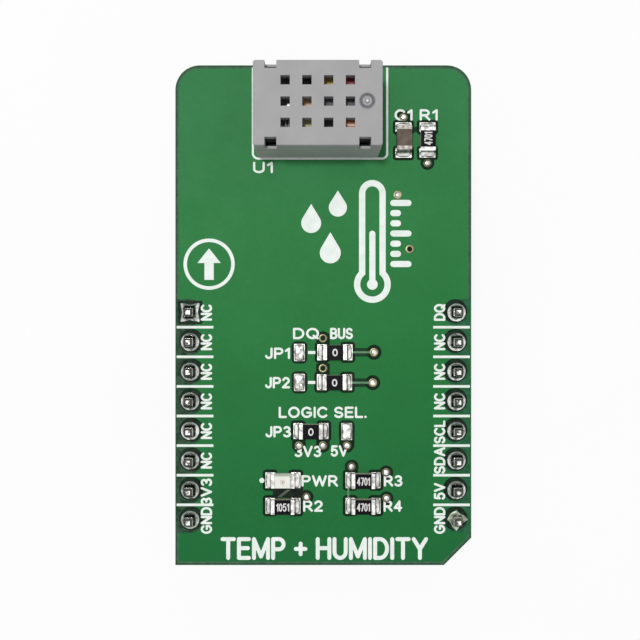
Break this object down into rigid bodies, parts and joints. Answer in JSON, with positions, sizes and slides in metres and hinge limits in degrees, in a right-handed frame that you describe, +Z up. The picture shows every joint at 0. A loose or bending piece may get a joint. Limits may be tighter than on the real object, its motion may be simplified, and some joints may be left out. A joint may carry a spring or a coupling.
{
  "type": "temperature humidity sensor module",
  "caption": "Plug-in circuit board with a windowed temperature and humidity sensor and two rows of header pins underneath.",
  "frame": {"origin": "under the board's centre, level with the lower ends of the header pins", "axes": "+Z up out of the board's component side, +Y along the board towards the sensor, +X to the right"},
  "size_m": [0.0254, 0.0428, 0.0144],
  "materials": {
    "board": "satin",
    "spacer": "satin",
    "pin": "polished",
    "solder": "satin",
    "tinned": "satin",
    "copper": "satin",
    "cover": "matte",
    "tray": "matte",
    "inner_board": "satin",
    "chip_black": "matte",
    "element_tan": "matte",
    "element_olive": "matte",
    "element_red": "matte",
    "element_orange": "matte",
    "resistor": "satin",
    "capacitor": "satin",
    "diode_base": "matte",
    "diode_lens": "gloss",
    "print": "matte"
  },
  "bodies": {
    "root": {"capacitor_body": "capacitor", "capacitor_caps": "tinned", "circuit_board": "board", "diode_base": "diode_base", "diode_caps": "tinned", "diode_lens": "diode_lens", "header_pin_left_1": "pin", "header_pin_left_2": "pin", "header_pin_left_3": "pin", "header_pin_left_4": "pin", "header_pin_left_5": "pin", "header_pin_left_6": "pin", "header_pin_left_7": "pin", "header_pin_left_8": "pin", "header_pin_right_1": "pin", "header_pin_right_2": "pin", "header_pin_right_3": "pin", "header_pin_right_4": "pin", "header_pin_right_5": "pin", "header_pin_right_6": "pin", "header_pin_right_7": "pin", "header_pin_right_8": "pin", "header_solder_left": "solder", "header_solder_right": "solder", "header_spacer_left": "spacer", "header_spacer_right": "spacer", "humidity_element": "element_tan", "link_caps": "tinned", "link_one": "resistor", "link_three": "resistor", "link_two": "resistor", "open_pad_solder": "solder", "print_dashes": "print", "print_dividers": "print", "print_drops": "print", "print_sensor_outline": "print", "print_sign": "print", "print_thermometer": "print", "print_ticks": "print", "resistor_caps": "tinned", "resistor_four": "resistor", "resistor_one": "resistor", "resistor_three": "resistor", "resistor_two": "resistor", "sensor_base": "tray", "sensor_capacitor": "element_orange", "sensor_chip": "chip_black", "sensor_cover": "cover", "sensor_diode": "element_red", "sensor_inner_board": "inner_board", "sensor_leads": "tinned", "sensor_small_caps": "tinned", "sensor_small_chips": "chip_black", "sensor_solder": "solder", "solder_fillets": "solder", "surface_pads": "tinned", "temperature_element": "element_olive", "via_rings": "copper"}
  },
  "joints": []
}
